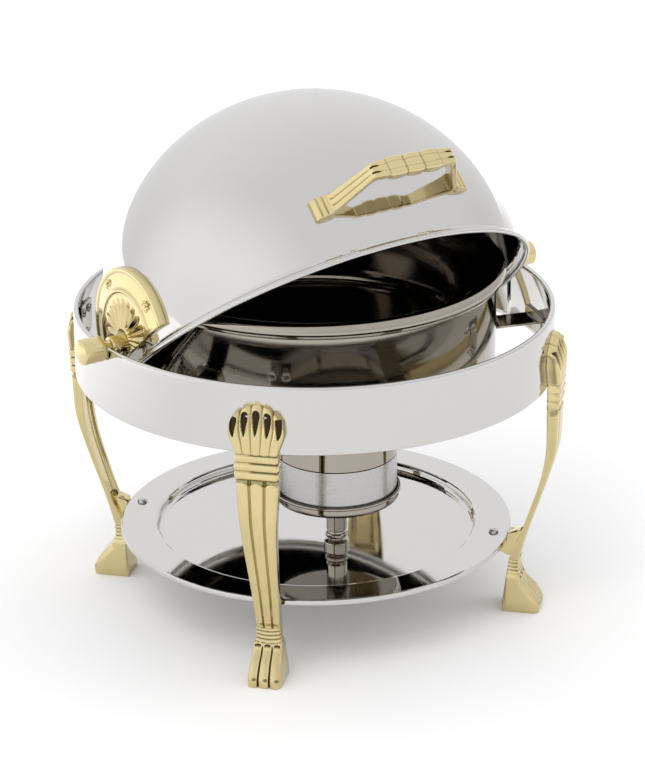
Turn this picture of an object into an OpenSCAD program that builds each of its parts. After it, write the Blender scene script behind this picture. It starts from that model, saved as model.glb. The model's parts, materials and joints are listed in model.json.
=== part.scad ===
// Round roll-top chafing dish: a polished ring on four cast legs, a fixed water pan with a lift-out
// food pan, a spherical cover that rolls back about two side pivots, and a fuel burner on a tray.
// +Z is up, the front is -Y, the feet stand on z = 0 and the cover's pivot line is the X direction.

/* [Ring] */
// Outer radius of the ring band
ring_r = 229; // [226:0.5:234]
// Height of the ring's top edge above the floor
ring_top = 302.5; // [300:0.5:304]
// Height of the ring band
ring_h = 65; // [60:1:68]
// Sheet thickness of the ring band
ring_t = 1.5; // [1.2:0.1:1.8]

/* [Cover] */
// Outer radius of the cover's sphere
dome_r = 202.4; // [200:0.2:204]
// Sheet thickness of the cover
dome_t = 1.2; // [1:0.1:1.5]
// Height of the pivot line above the floor
pivot_z = 301; // [300:0.5:302]
// How far the cover is rolled back from closed, in degrees
cover_open = 40; // [0:5:90]
// Drop of the rim plane below the pivot line
rim_drop = 26.5; // [25:0.5:28]
// Radius of the rolled rim's outer edge
rim_r = 208.8; // [207:0.2:210]

/* [Pivots] */
// Radius of the shaft neck that turns in the ring's notch
neck_r = 5; // [4:0.5:6]
// Radius of the hub collar
hub_r = 9; // [8:0.5:10]
// Radius of the knob outside the ring
knob_r = 12; // [11:0.5:13]
// Distance from the middle to the knob's outer end
knob_end = 254.5; // [252:0.5:258]

/* [Medallions] */
// Radius of the half-round medallion
med_r = 65; // [60:1:67]
// Height of the medallion's centre above the pivot line
med_up = 4.5; // [3:0.5:6]
// Height of its straight lower edge, from the pivot line
med_cut = -10; // [-13:0.5:-9.5]

/* [Handle] */
// Half the distance between the handle's feet
foot_x = 73; // [71:0.5:75]
// Half length of the grip
grip_x = 28; // [26:1:28.5]
// Distance from the cover's centre to the middle of the grip
grip_s = 244; // [241:0.5:247]
// Angle of the handle above the cover's front, in degrees
handle_up = 7.5; // [5:0.5:9]

/* [Pans] */
// Outer radius of the water pan's wall
pan_r = 173; // [170:0.5:175]
// Height of the water pan's top edge
pan_top = 343; // [341:0.5:344]
// Height of the water pan's underside
pan_bottom = 232; // [230:1:236]
// Radius of the pan's half-round rim
pan_rim = 7.7; // [7:0.1:8]
// Number of drain slots in the gutter ring
slot_count = 96; // [48:8:112]
// Outer radius of the food pan's flange
food_r = 160; // [158:0.5:161]
// Depth of the food pan
food_deep = 60; // [50:1:64]

/* [Tray] */
// Outer radius of the tray
tray_r = 190.2; // [188:0.2:191]
// Height of the tray's rim
tray_z = 75.9; // [74:0.1:78]
// Depth of the tray's well
tray_deep = 7.9; // [6:0.1:9]

/* [Legs] */
// Radius of the circle of tray screws
lug_r = 176; // [174:0.5:180]
// Height of the upper pair of leg screws
leg_screw_z = 274; // [272:0.5:276]

/* [Burner] */
// Sideways position of the burner
burner_x = -9.7; // [-12:0.1:0]
// Front to back position of the burner
burner_y = -52.6; // [-55:0.1:-50]
// Outer radius of the fuel cup
cup_r = 58; // [56:0.5:58]
// Height of the dish's underside
dish_z = 121.5; // [120:0.5:124]
// Height of the burner cover's top
burner_top = 194; // [190:1:196]

/* [Hidden] */
$fa = 3;
$fs = 0.5;
e = 0.01;
far = 600;

STEEL = "#D8D7D4";
BRUSHED = "#B9B9BA";
BRASS = "#D9C48C";
DARK = "#8E8A84";

ring_in = ring_r - ring_t;
hem_r = 2.6;
plate_t = 1;
strap_z = 258;
strap_t = 2;
strap_w = 30;
strap_at = [0, -75, 75];
leg_at = [-135, -45, 135, 45];
screw_r = 2.5;
screw_low = leg_screw_z - 22;
foot_ang = asin(foot_x / dome_r);
med_face = 200;
hub_in = 206.5;
hub_out = ring_in - 5;
knob_in = ring_r + 2;
ledge_z = 331;
flange_z = ledge_z + 0.3;
cup_z = dish_z + 1.5;
step_z = 168;
flame_r = 24;
plate_r = 27;
damper_arm = 38;

// ---- helpers ---------------------------------------------------------------------------------

// Points along an arc of radius r about c, from angle a0 to a1
function arc(c, r, a0, a1, n = 8) =
    [for (i = [0:n]) let (a = a0 + (a1 - a0) * i / n) c + r * [cos(a), sin(a)]];

// A smooth curve through control points (Catmull-Rom), n steps from one to the next
function smooth(p, n = 4) = concat(
    [for (i = [0:len(p) - 2], k = [0:n - 1])
        let (a = p[max(i - 1, 0)], b = p[i], c = p[i + 1], d = p[min(i + 2, len(p) - 1)], t = k / n)
        (2 * b + (c - a) * t + (2 * a - 5 * b + 4 * c - d) * t * t
            + (3 * b - a - 3 * c + d) * t * t * t) / 2],
    [p[len(p) - 1]]);

function reversed(p) = [for (i = [len(p) - 1:-1:0]) p[i]];

// A path moved t to its left, for sheet-metal sections
function beside(p, t) = [for (i = [0:len(p) - 1])
    let (d = p[min(i + 1, len(p) - 1)] - p[max(i - 1, 0)]) p[i] + t * [-d.y, d.x] / norm(d)];

// A sheet section: a path with thickness t on its left
module sheet(p, t) polygon(concat(p, reversed(beside(p, t))));

// Children turned to stand at an angle round the vertical axis, measured from the front
module at_front(angle) rotate([0, 0, angle - 90]) children();

// Children that belong to the cover, rolled back to its rest angle
module on_cover() translate([0, 0, pivot_z]) rotate([-cover_open, 0, 0]) children();

// Children drawn on the +X side, for the left (-1) or right (1) side
module on_side(s) mirror([s < 0 ? 1 : 0, 0, 0]) children();

// Children drawn along +X, turned so that +X points along u
module along(u) rotate([0, -asin(u.z / norm(u)), atan2(u.y, u.x)]) children();

// A solid turned about the X direction from points [radius, x]
module turned_x(p) rotate([0, 90, 0]) rotate_extrude() polygon(p);

// A pan-head screw along +X: its head ends at x0, and its shank runs from x0 to x1
module screw_x(x0, x1, r, head_r, head_h) union() {
    rotate([0, 90, 0]) translate([0, 0, x0 - e]) cylinder(r = r, h = x1 - x0 + e);
    turned_x([[0, x0 - head_h], [head_r * 0.55, x0 - head_h], [head_r * 0.86, x0 - head_h * 0.75],
        [head_r, x0 - head_h * 0.3], [head_r, x0], [0, x0]]);
}

// ---- ring, straps and water pan --------------------------------------------------------------

// Rolled hem at the top, a thin hem at the bottom, notches for the pivots and leg screw holes
module ring_band() color(STEEL) difference() {
    rotate_extrude() {
        translate([ring_in, ring_top - ring_h]) square([ring_t, ring_h - hem_r]);
        translate([ring_r - hem_r, ring_top - hem_r]) circle(hem_r);
        translate([ring_r - 1.2, ring_top - ring_h + 1.2]) circle(1.2);
    }
    translate([0, 0, pivot_z]) rotate([0, 90, 0]) cylinder(r = neck_r + 0.05, h = far, center = true);
    translate([-far / 2, -neck_r - 0.05, pivot_z]) cube([far, 2 * neck_r + 0.1, 20]);
    for (a = leg_at) at_front(a) leg_screw_holes(ring_in - 8, ring_r + 3);
}

// One inverted-U strap between the pan's wall and the ring, with both ends turned down
module strap(angle) color(STEEL) intersection() {
    rotate_extrude() {
        translate([pan_r, strap_z - strap_t]) square([ring_in - pan_r, strap_t]);
        translate([pan_r, strap_z - 16]) square([strap_t, 16]);
        translate([ring_in - strap_t, strap_z - 16]) square([strap_t, 16]);
    }
    rotate([0, 0, angle]) translate([-strap_w / 2, -far, 0]) cube([strap_w, far, far]);
}

module strap_front() strap(strap_at[0]);
module strap_left() strap(strap_at[1]);
module strap_right() strap(strap_at[2]);

// Deep-drawn pan whose half-round rim stands above the ring
module water_pan() color(STEEL) rotate_extrude() {
    corner = 18;
    sheet(concat([[0, pan_bottom], [pan_r - corner, pan_bottom]],
        arc([pan_r - corner, pan_bottom + corner], corner, -80, 0), [[pan_r, pan_top - 1]]), 1.2);
    intersection() {
        translate([pan_r + 1.3, pan_top - pan_rim]) difference() {
            circle(pan_rim);
            circle(pan_rim - 1.2);
        }
        translate([pan_r - 1.2, pan_top - 20]) square([20, 25]);
    }
}

// Ring that hangs inside the pan's rim: a slotted drip channel and the ledge for the food pan
module gutter_ring() color(DARK) difference() {
    rotate_extrude() sheet(concat([[150, ledge_z - 6], [150, ledge_z - 1]],
        [[151, ledge_z], [food_r + 0.5, ledge_z], [food_r + 1.5, ledge_z - 2.5]],
        [[pan_r - 3.5, ledge_z - 2.5], [pan_r - 1.9, ledge_z - 1.5], [pan_r - 1.9, pan_top - 2]]), -0.8);
    for (i = [0:slot_count - 1])
        rotate([0, 0, (i + 0.5) * 360 / slot_count])
            translate([food_r + 2.4, -2.6, ledge_z - 6]) cube([2.6, 5.2, 6]);
}

// ---- legs ------------------------------------------------------------------------------------

// Side outline of a leg: [distance from the middle, height], front face down and back face up
leg_face = smooth([[231, 286], [237, 279], [241, 264], [241.5, 245], [240.5, 228], [239.5, 200],
    [238, 172], [231.5, 146], [222, 116], [211.5, 84], [204.5, 58], [202.5, 44], [206.5, 32],
    [217, 21], [224, 9], [223.5, 0]]);
leg_back = smooth([[188, 0], [188, 10], [190, 28], [191.5, 42], [194.5, 58], [204, 82], [214, 112],
    [223, 142], [228, 172], [228.4, 200], [228.6, 228], [228.8, 236], [228.8, 264], [229, 286]]);
// Front outline of a leg: [half width, height]
leg_side = smooth([[17, 0], [17, 8], [15.4, 22], [14.2, 34], [12, 42], [11.8, 52], [12.2, 64],
    [14.4, 110], [17, 160], [19.6, 206], [20.8, 226], [20, 238], [22.5, 252], [25.8, 266],
    [26.3, 275], [23, 284], [0, 288]]);
// Inward boss that the tray sits on, clear of the tray's turned-down lip
leg_lug = [[lug_r - 7, tray_z - 1.2], [tray_r - 2.2, tray_z - 1.2], [tray_r - 2.2, tray_z - 5.5],
    [tray_r + 0.8, tray_z - 5.5], [tray_r + 0.8, tray_z + 3], [207, tray_z + 8], [202, 58],
    [191, 56], [lug_r - 4, 65]];

module leg_screw_holes(x0, x1) {
    for (q = [[-8, leg_screw_z], [8, leg_screw_z], [0, screw_low]])
        translate([x0, q.x, q.y]) rotate([0, 90, 0]) cylinder(r = screw_r, h = x1 - x0);
}

// One cast leg, from the fan-shaped head on the ring down to the claw foot
module leg(angle) color(BRASS) at_front(angle) difference() {
    union() {
        intersection() {
            rotate([90, 0, 0]) linear_extrude(60, center = true) polygon(concat(leg_face, leg_back));
            rotate([90, 0, 90]) linear_extrude(400)
                polygon(concat(leg_side, [for (p = reversed(leg_side)) if (p.x > 0) [-p.x, p.y]]));
        }
        rotate([90, 0, 0]) linear_extrude(15, center = true) polygon(leg_lug);
    }
    translate([0, 0, ring_top - ring_h]) cylinder(r = ring_r, h = 70);
    leg_screw_holes(ring_in, 235);
    translate([lug_r, 0, 62]) cylinder(r = 2, h = 20);
}

module leg_front_left() leg(-45);
module leg_front_right() leg(45);
module leg_rear_left() leg(-135);
module leg_rear_right() leg(135);

// Shield-shaped backing plates inside the ring, curved to its wall, one behind each leg
leg_plate = [[-15, leg_screw_z + 8], [15, leg_screw_z + 8], [15, leg_screw_z - 13],
    [12, screw_low - 2], [6, screw_low - 7], [-6, screw_low - 7], [-12, screw_low - 2],
    [-15, leg_screw_z - 13]];
module leg_plates() color(DARK) for (a = leg_at) at_front(a) difference() {
    intersection() {
        rotate_extrude() translate([ring_in - plate_t, screw_low - 12]) square([plate_t, 46]);
        translate([ring_in - 6, 0, 0]) rotate([90, 0, 90]) linear_extrude(12) polygon(leg_plate);
    }
    leg_screw_holes(ring_in - 8, ring_r + 3);
}

// Three round-headed screws from inside the ring through its plate into each leg
module leg_screws() color(BRUSHED) for (a = leg_at) at_front(a)
    for (q = [[-8, leg_screw_z], [8, leg_screw_z], [0, screw_low]])
        translate([0, q.x, q.y]) screw_x(ring_in - plate_t - 0.2, 235, screw_r, 4.4, 2.4);

// ---- tray ------------------------------------------------------------------------------------

module tray() color(STEEL) difference() {
    floor_z = tray_z - tray_deep;
    rotate_extrude() sheet(concat([[0, floor_z], [150, floor_z]],
        arc([150, floor_z + 4], 4, -75, 0, 5), arc([158, tray_z - 4], 4, 180, 90, 5),
        [[tray_r - 2.5, tray_z]], arc([tray_r - 2, tray_z - 2], 2, 75, 0, 4),
        [[tray_r, tray_z - 4.5]]), -1.2);
    for (a = leg_at) at_front(a) translate([lug_r, 0, tray_z - 10]) cylinder(r = 2, h = 20);
    translate([burner_x, burner_y, floor_z - 5]) cylinder(r = screw_r, h = 10);
}

module tray_screws() color(BRUSHED) for (a = leg_at) at_front(a)
    translate([lug_r, 0, tray_z]) rotate([0, 90, 0]) screw_x(0, tray_z - 62, 2, 4.8, 2.8);

// ---- burner ----------------------------------------------------------------------------------

module at_burner(z = 0) translate([burner_x, burner_y, z]) children();

// Turned post with a small stepped foot and a stud for the dish
module burner_post() color(STEEL) at_burner() difference() {
    base = tray_z - tray_deep;
    rotate_extrude() polygon(concat([[0, base], [12.2, base]], arc([10.7, base + 4.5], 1.5, 0, 80, 4),
        arc([8.4, base + 8.8], 2, -90, -180, 3), arc([8, 80.6], 3, -70, 70, 6),
        [[8.4, 84.5], [10, 86.5], [10, dish_z - 9], [11.5, dish_z - 7], [11.5, dish_z - 4],
        [3, dish_z - 4], [3, dish_z + 0.9], [0, dish_z + 0.9]]));
    translate([0, 0, base - 1]) cylinder(r = screw_r, h = 15);
}

module post_screw() color(BRUSHED) at_burner(tray_z - tray_deep - 1.2)
    rotate([0, -90, 0]) screw_x(0, 14, screw_r, 5, 3);

// Saucer with a recess for its nut and a rolled edge
module burner_dish() color(STEEL) at_burner() rotate_extrude() {
    sheet(concat([[3, dish_z - 4], [9, dish_z - 4], [12, dish_z], [56, dish_z]],
        arc([56, dish_z + 4.2], 4.2, -70, 0, 5), [[cup_r + 2.2, dish_z + 9]]), 1.2);
    translate([cup_r + 2.4, dish_z + 10]) circle(1.6);
}

module dish_nut() color(BRUSHED) at_burner(dish_z - 2.8) difference() {
    cylinder(r = 5.5, h = 3.4, $fn = 6);
    translate([0, 0, -1]) cylinder(r = 3, h = 6);
}

// Fuel cup: a spun wall with a reduced neck that the cover slides over
module burner_cup() color(BRUSHED) at_burner() rotate_extrude()
    sheet(concat([[0, cup_z], [cup_r - 5, cup_z]], arc([cup_r - 5, cup_z + 5], 5, -75, 0, 5),
        [[cup_r, step_z - 0.6], [cup_r - 1.2, step_z], [cup_r - 1.2, step_z + 4.5]]), 1);

// Cap over the cup with the flame opening
module burner_cover() color(STEEL) at_burner() difference() {
    rotate_extrude() sheet(concat([[cup_r + 0.1, step_z + 0.6]],
        arc([cup_r - 4.9, burner_top - 5], 5, 0, 80, 6), [[flame_r, burner_top]]), 1);
    translate([damper_arm, 0, burner_top - 5]) cylinder(r = 1.5, h = 10);
    rotate([0, 0, loop_turn]) for (z = loop_z) translate([0, 0, z]) rotate([0, 90, 0])
        cylinder(r = 1.2, h = cup_r + 5);
}

// Bent-wire loop on the side of the cap, to lift it by
loop_turn = 148;
loop_z = [burner_top - 7.5, burner_top - 18.5];
module cover_loop() color(STEEL) at_burner() rotate([0, 0, loop_turn]) difference() {
    x0 = cup_r + 0.1;
    union() {
        for (z = loop_z) translate([x0, 0, z]) rotate([0, 90, 0]) cylinder(r = 3, h = 1.2);
        for (z = loop_z) translate([x0 + 1, 0, z]) rotate([0, 90, 0]) cylinder(r = 1.5, h = 3);
        translate([x0 + 4, 0, (loop_z[0] + loop_z[1]) / 2]) rotate([90, 0, 0])
            rotate_extrude(angle = 180, start = -90) translate([5.5, 0]) circle(1.5);
    }
    for (z = loop_z) translate([0, 0, z]) rotate([0, 90, 0]) cylinder(r = 1.2, h = x0 + 2);
}

module loop_rivets() color(BRUSHED) at_burner() rotate([0, 0, loop_turn])
    for (z = loop_z) translate([0, 0, z]) screw_x(cup_r - 0.95, cup_r + 2, 1.2, 2.4, 1);

// Pin that the damper plate swivels on
module damper_pin() color(BRUSHED) at_burner(burner_top) translate([damper_arm, 0, 0]) union() {
    translate([0, 0, -2]) cylinder(r = 3, h = 1);
    translate([0, 0, -1.5]) cylinder(r = 1.5, h = 4);
    translate([0, 0, 2]) cylinder(r = 3.2, h = 1.2);
}

// Plate that swings over the flame opening, drawn closed over it
module damper_plate() color(STEEL) at_burner(burner_top + 0.4) translate([damper_arm, 0, 0])
    difference() {
        union() {
            translate([-damper_arm, 0, 0]) cylinder(r = plate_r, h = 1.2);
            cylinder(r = 6, h = 1.2);
            translate([-damper_arm, -6, 0]) cube([damper_arm, 12, 1.2]);
        }
        translate([0, 0, -1]) cylinder(r = 1.55, h = 4);
    }

// Upright tab to push the plate with
module damper_tab() color(BRUSHED) at_burner(burner_top + 1.6) translate([-plate_r + 2, -5, 0]) {
    cube([8, 10, 1]);
    cube([1, 10, 9]);
}

// ---- cover -----------------------------------------------------------------------------------

// Radial holes and screws of the cover, as directions from its centre
foot_dirs = [for (s = [-1, 1]) [s * sin(foot_ang), -cos(foot_ang) * cos(handle_up),
    cos(foot_ang) * sin(handle_up)]];
med_dirs = [for (s = [-1, 1], q = [-36, 36]) [s * 192, q, 34]];

// Spherical cover with an outward flare and a rolled bead at its rim
module dome_shell() color(STEEL) on_cover() difference() {
    neck = rim_drop - 8;
    rotate_extrude() {
        intersection() {
            difference() {
                circle(dome_r);
                circle(dome_r - dome_t);
            }
            translate([0, -neck]) square([dome_r + 1, dome_r + neck + 1]);
        }
        sheet(concat([[sqrt(dome_r * dome_r - neck * neck), 0.2 - neck]],
            arc([rim_r - 2.2, 0.5 - neck], 5.1, 185, 262, 6), [[rim_r - 2.2, -rim_drop + 1.6]]), -dome_t);
        translate([rim_r - 2.3, -rim_drop]) circle(2.3);
    }
    for (s = [-1, 1]) on_side(s) rotate([0, 90, 0]) cylinder(r = neck_r, h = far);
    for (u = foot_dirs) along(u) rotate([0, 90, 0]) cylinder(r = screw_r, h = far);
    for (u = med_dirs) along(u) rotate([0, 90, 0]) cylinder(r = 1.6, h = far);
}

// Half-round cast medallion that seats on the sphere, with a border, an arc and a fan cone
module medallion(s) color(BRASS) on_cover() difference() {
    intersection() {
        on_side(s) translate([0, 0, med_up]) turned_x([[0, 180], [med_r + 1, 180],
            [med_r, med_face - 1], [med_r - 1.2, med_face], [med_r - 3.4, med_face],
            [med_r - 4.4, med_face - 0.8], [46, med_face + 2.4], [45, med_face + 3.6],
            [43, med_face + 3.6], [42, med_face + 2.2], [12, hub_in - 0.5], [10, hub_in], [0, hub_in]]);
        translate([-far / 2, -far / 2, med_cut]) cube(far);
    }
    sphere(dome_r, $fn = 300);
    rotate([0, 90, 0]) cylinder(r = neck_r, h = far, center = true);
    for (u = med_dirs) along(u) rotate([0, 90, 0]) cylinder(r = 1.6, h = dome_r + 4);
}

module medallion_left() medallion(-1);
module medallion_right() medallion(1);

module medallion_screws() color(BRUSHED) on_cover()
    for (u = med_dirs) along(u) screw_x(dome_r - dome_t, dome_r + 4, 1.6, 3, 1.6);

// Hub collar, the neck that turns in the notch, and a stud for the knob
module pivot_shaft(s) color(BRASS) on_cover() on_side(s) turned_x([[0, 195], [neck_r - 0.6, 195],
    [neck_r, 195.6], [neck_r, hub_in], [hub_r - 0.6, hub_in], [hub_r, hub_in + 0.6],
    [hub_r, hub_out - 1], [hub_r - 1, hub_out], [neck_r, hub_out], [neck_r, knob_in], [3, knob_in],
    [3, knob_in + 15], [0, knob_in + 15]]);

module pivot_shaft_left() pivot_shaft(-1);
module pivot_shaft_right() pivot_shaft(1);

module pivot_knob(s) color(BRASS) on_cover() on_side(s) turned_x(concat([[3, knob_in],
    [knob_r - 0.8, knob_in], [knob_r, knob_in + 0.8], [knob_r, knob_end - 4]],
    arc([knob_r - 3, knob_end - 4], 3, 0, 60, 4), [[knob_r * 0.45, knob_end - 0.4], [0, knob_end],
    [0, knob_in + 15], [3, knob_in + 15]]));

module pivot_knob_left() pivot_knob(-1);
module pivot_knob_right() pivot_knob(1);

// Nuts that clamp the cover between them and the medallions
module pivot_nuts() color(BRUSHED) on_cover() for (s = [-1, 1]) on_side(s) rotate([0, 90, 0])
    translate([0, 0, dome_r - dome_t - 5]) difference() {
        cylinder(r = 9.2, h = 4.7, $fn = 6);
        translate([0, 0, -1]) cylinder(r = neck_r, h = 8);
    }

// Swell of the grip's three pillows along its length
function pillow(x) = sqrt(abs(cos(180 * 1.5 * x / grip_x)));
lobe_steps = 24;
grip_line = [for (i = [0:lobe_steps]) -grip_x + 2 * grip_x * i / lobe_steps];

// Cast handle: ribbed feet, sloping arms and a three-pillow grip, as two crossed outlines
module cover_handle() color(BRASS) on_cover() rotate([-handle_up, 0, 0]) difference() {
    intersection() {
        linear_extrude(60, center = true) mirror([0, 1]) polygon(concat(
            [[-81, 170], [-81, 190.5], [-78.5, 194.5], [-68, 199.5], [-65, 203],
                [-44, grip_s + 3], [-41, grip_s + 4.5]],
            [for (x = grip_line) [x, grip_s + 4.5 + 1.5 * pillow(x)]],
            [[41, grip_s + 4.5], [44, grip_s + 3], [65, 203], [68, 199.5], [78.5, 194.5],
                [81, 190.5], [81, 170], [63, 170], [63, 195.5], [40, grip_s - 4]],
            [for (x = reversed(grip_line)) [x, grip_s - 3.5 - pillow(x)]],
            [[-40, grip_s - 4], [-63, 195.5], [-63, 170]]));
        translate([0, -far / 2, 0]) rotate([-90, 0, 0]) linear_extrude(far) polygon(concat(
            [[-81, -10], [-67, -10], [-65, -8.5], [-44, -6.5], [-41, -7.5]],
            [for (x = grip_line) [x, -8.2 - 1.6 * pillow(x)]],
            [[41, -7.5], [44, -6.5], [65, -8.5], [67, -10], [81, -10]],
            [[81, 10], [67, 10], [65, 8.5], [44, 6.5], [41, 7.5]],
            [for (x = reversed(grip_line)) [x, 8.2 + 1.6 * pillow(x)]],
            [[-41, 7.5], [-44, 6.5], [-65, 8.5], [-67, 10], [-81, 10]]));
    }
    sphere(dome_r);
    for (s = [-1, 1]) along([s * sin(foot_ang), -cos(foot_ang), 0])
        rotate([0, 90, 0]) cylinder(r = screw_r, h = dome_r + 6);
}

module handle_screws() color(BRUSHED) on_cover()
    for (u = foot_dirs) along(u) screw_x(dome_r - dome_t, dome_r + 6, screw_r, 5, 2.6);

// ---- food pan --------------------------------------------------------------------------------

module food_pan() color(STEEL) rotate_extrude() {
    floor_z = flange_z - food_deep;
    sheet(concat([[0, floor_z], [130, floor_z]], arc([130, floor_z + 13], 13, -80, -5, 6),
        [[147.5, flange_z - 2]], [[149, flange_z], [food_r - 1.2, flange_z]]), 1);
    translate([food_r - 1.2, flange_z + 1.1]) circle(1.1);
}

ring_band();
strap_front();
strap_left();
strap_right();
water_pan();
gutter_ring();
leg_front_left();
leg_front_right();
leg_rear_left();
leg_rear_right();
leg_plates();
leg_screws();
tray();
tray_screws();
burner_post();
post_screw();
burner_dish();
dish_nut();
dome_shell();
medallion_left();
medallion_right();
medallion_screws();
pivot_shaft_left();
pivot_shaft_right();
pivot_knob_left();
pivot_knob_right();
pivot_nuts();
cover_handle();
handle_screws();
food_pan();
burner_cup();
burner_cover();
cover_loop();
loop_rivets();
damper_pin();
damper_plate();
damper_tab();
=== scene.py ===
"""Looks of a round roll-top chafing dish, built around its packed mechanical frame.

Lengths are metres in the frame's own axes: +Z up, front -Y, the cover's pivot line along X.
Profiles are written in millimetres, because sheet-metal sections read best that way.
"""

import json
import logging
import math
from dataclasses import dataclass
from enum import Enum
from typing import Optional, Sequence

import bmesh
import bpy
import numpy as np
from mathutils import Matrix, Vector


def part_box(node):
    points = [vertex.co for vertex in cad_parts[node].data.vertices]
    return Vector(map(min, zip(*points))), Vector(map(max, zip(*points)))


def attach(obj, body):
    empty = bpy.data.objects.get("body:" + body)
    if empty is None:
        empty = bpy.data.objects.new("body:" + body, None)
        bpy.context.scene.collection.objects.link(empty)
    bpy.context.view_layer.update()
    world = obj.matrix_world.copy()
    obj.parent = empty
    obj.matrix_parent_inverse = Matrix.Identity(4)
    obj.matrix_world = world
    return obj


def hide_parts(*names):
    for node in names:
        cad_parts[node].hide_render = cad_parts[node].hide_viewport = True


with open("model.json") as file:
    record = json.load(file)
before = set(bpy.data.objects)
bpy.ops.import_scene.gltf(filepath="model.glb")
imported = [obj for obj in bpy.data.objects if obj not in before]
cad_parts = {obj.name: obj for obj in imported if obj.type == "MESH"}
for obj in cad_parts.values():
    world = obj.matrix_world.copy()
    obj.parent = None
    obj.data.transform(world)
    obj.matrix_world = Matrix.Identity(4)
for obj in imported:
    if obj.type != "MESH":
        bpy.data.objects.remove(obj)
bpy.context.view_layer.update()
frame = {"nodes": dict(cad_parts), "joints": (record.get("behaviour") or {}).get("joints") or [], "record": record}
MM = 0.001
LOG = logging.getLogger("chafer")
Point = tuple[float, float]
Pair = tuple[np.ndarray, np.ndarray]
MADE: dict[str, bpy.types.Material] = {}


# ---- facts read from the frame -----------------------------------------------------------------


class Body(Enum):
    """Bodies of the frame that pieces ride on."""

    ROOT = "root"
    COVER = "cover"


class Slot(Enum):
    """Material slots of the record."""

    MIRROR = "mirror_steel"
    POLISHED = "polished_steel"
    BRUSHED = "brushed_steel"
    BRASS = "polished_brass"


@dataclass(frozen=True)
class Layout:
    """Driving sizes in millimetres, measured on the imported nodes."""

    pivot_z: float
    cover_open: float
    dome_r: float
    ring_r: float
    ring_top: float
    ring_low: float
    pan_r: float
    knob_end: float
    burner: tuple[float, float]

    @staticmethod
    def measure() -> "Layout":
        """Reads the layout from the frame.

        Returns:
            The sizes that every sub-assembly below is placed from.
        """
        roll = next(j for j in frame["joints"] if j["name"] == "cover_roll")
        pivot = roll["pos_m"][2]
        dome, ring, strap = (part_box(n) for n in ("dome_shell", "ring_band", "strap_front"))
        post_low, post_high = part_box("burner_post")
        middle = (post_low + post_high) / 2
        return Layout(
            pivot_z=pivot / MM,
            cover_open=-roll["range_deg"][0],
            dome_r=round((dome[1].z - pivot) / MM, 1),
            ring_r=ring[1].x / MM,
            ring_top=ring[1].z / MM,
            ring_low=ring[0].z / MM,
            pan_r=math.hypot(strap[1].x, strap[1].y) / MM,
            knob_end=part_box("pivot_knob_right")[1].x / MM,
            burner=(middle.x / MM, middle.y / MM),
        )


AT = Layout.measure()


def cover_matrix() -> Matrix:
    """Places something drawn with the cover closed onto the cover at its rest angle."""
    tilt = Matrix.Rotation(-math.radians(AT.cover_open), 4, "X")
    return Matrix.Translation((0, 0, AT.pivot_z * MM)) @ tilt


# ---- shader helpers ----------------------------------------------------------------------------


def linear(code: str) -> tuple[float, float, float, float]:
    """Converts an sRGB hex colour to linear RGBA.

    Args:
        code: Six hex digits with or without a leading '#'.

    Returns:
        Linear red, green, blue and an alpha of 1.
    """
    digits = code.lstrip("#")
    channels = [int(digits[i:i + 2], 16) / 255 for i in (0, 2, 4)]
    curve = [c / 12.92 if c <= 0.04045 else ((c + 0.055) / 1.055) ** 2.4 for c in channels]
    return (*curve, 1.0)


class Shader:
    """A node tree under construction; add() makes one node, its settings and its links."""

    def __init__(self, name: str) -> None:
        """Starts a material with an empty node tree.

        Args:
            name: Name of the material.
        """
        self.material = bpy.data.materials.new(name)
        self.material.use_nodes = True
        self.tree = self.material.node_tree
        self.tree.nodes.clear()

    def add(self, kind: str, inputs: Optional[dict] = None, **settings) -> bpy.types.Node:
        """Adds a node.

        Args:
            kind: Node type name after the 'ShaderNode' prefix.
            inputs: Socket name or index to a constant, or to another node's output socket.
            **settings: Attributes of the node, such as operation or data_type.

        Returns:
            The new node.
        """
        node = self.tree.nodes.new("ShaderNode" + kind)
        for key, value in settings.items():
            setattr(node, key, value)
        for key, value in (inputs or {}).items():
            if isinstance(value, bpy.types.NodeSocket):
                self.tree.links.new(value, node.inputs[key])
            else:
                node.inputs[key].default_value = value
        return node

    def math(self, operation: str, *values) -> bpy.types.NodeSocket:
        """One Math node over constants or sockets; returns its output."""
        node = self.add("Math", dict(enumerate(values)), operation=operation)
        return node.outputs[0]

    def ramp(self, fac: bpy.types.NodeSocket, low: float, high: float,
             to_low: float = 0.0, to_high: float = 1.0) -> bpy.types.NodeSocket:
        """Maps fac from low..high to to_low..to_high, clamped; returns the output socket."""
        node = self.add("MapRange", {0: fac, 1: low, 2: high, 3: to_low, 4: to_high}, clamp=True)
        return node.outputs[0]

    def noise(self, vector: bpy.types.NodeSocket, scale: float, detail: float = 2.0,
              rough: float = 0.5) -> bpy.types.NodeSocket:
        """A noise texture's value over vector; returns the output socket."""
        node = self.add("TexNoise", {"Vector": vector, "Scale": scale, "Detail": detail,
                                     "Roughness": rough})
        return node.outputs[0]

    def turned(self, centre: Point) -> tuple[bpy.types.NodeSocket, bpy.types.NodeSocket]:
        """Radius and angle about a vertical axis.

        Args:
            centre: Plan position of the axis in metres.

        Returns:
            The radius socket (metres) and the angle socket (radians).
        """
        place = self.add("TexCoord").outputs["Object"]
        axes = self.add("SeparateXYZ", {0: place})
        x = self.math("SUBTRACT", axes.outputs[0], centre[0])
        y = self.math("SUBTRACT", axes.outputs[1], centre[1])
        radius = self.math("SQRT", self.math("ADD", self.math("MULTIPLY", x, x),
                                             self.math("MULTIPLY", y, y)))
        return radius, self.math("ARCTAN2", y, x)

    def finish(self, surface: bpy.types.Node) -> bpy.types.Material:
        """Connects the surface to the output and returns the material."""
        self.add("OutputMaterial", {"Surface": surface.outputs[0]})
        return self.material


class Grain(Enum):
    """How a steel surface was worked."""

    BUFFED = "buffed in all directions"
    SPUN = "spun: fine rings about a vertical axis"


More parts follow.
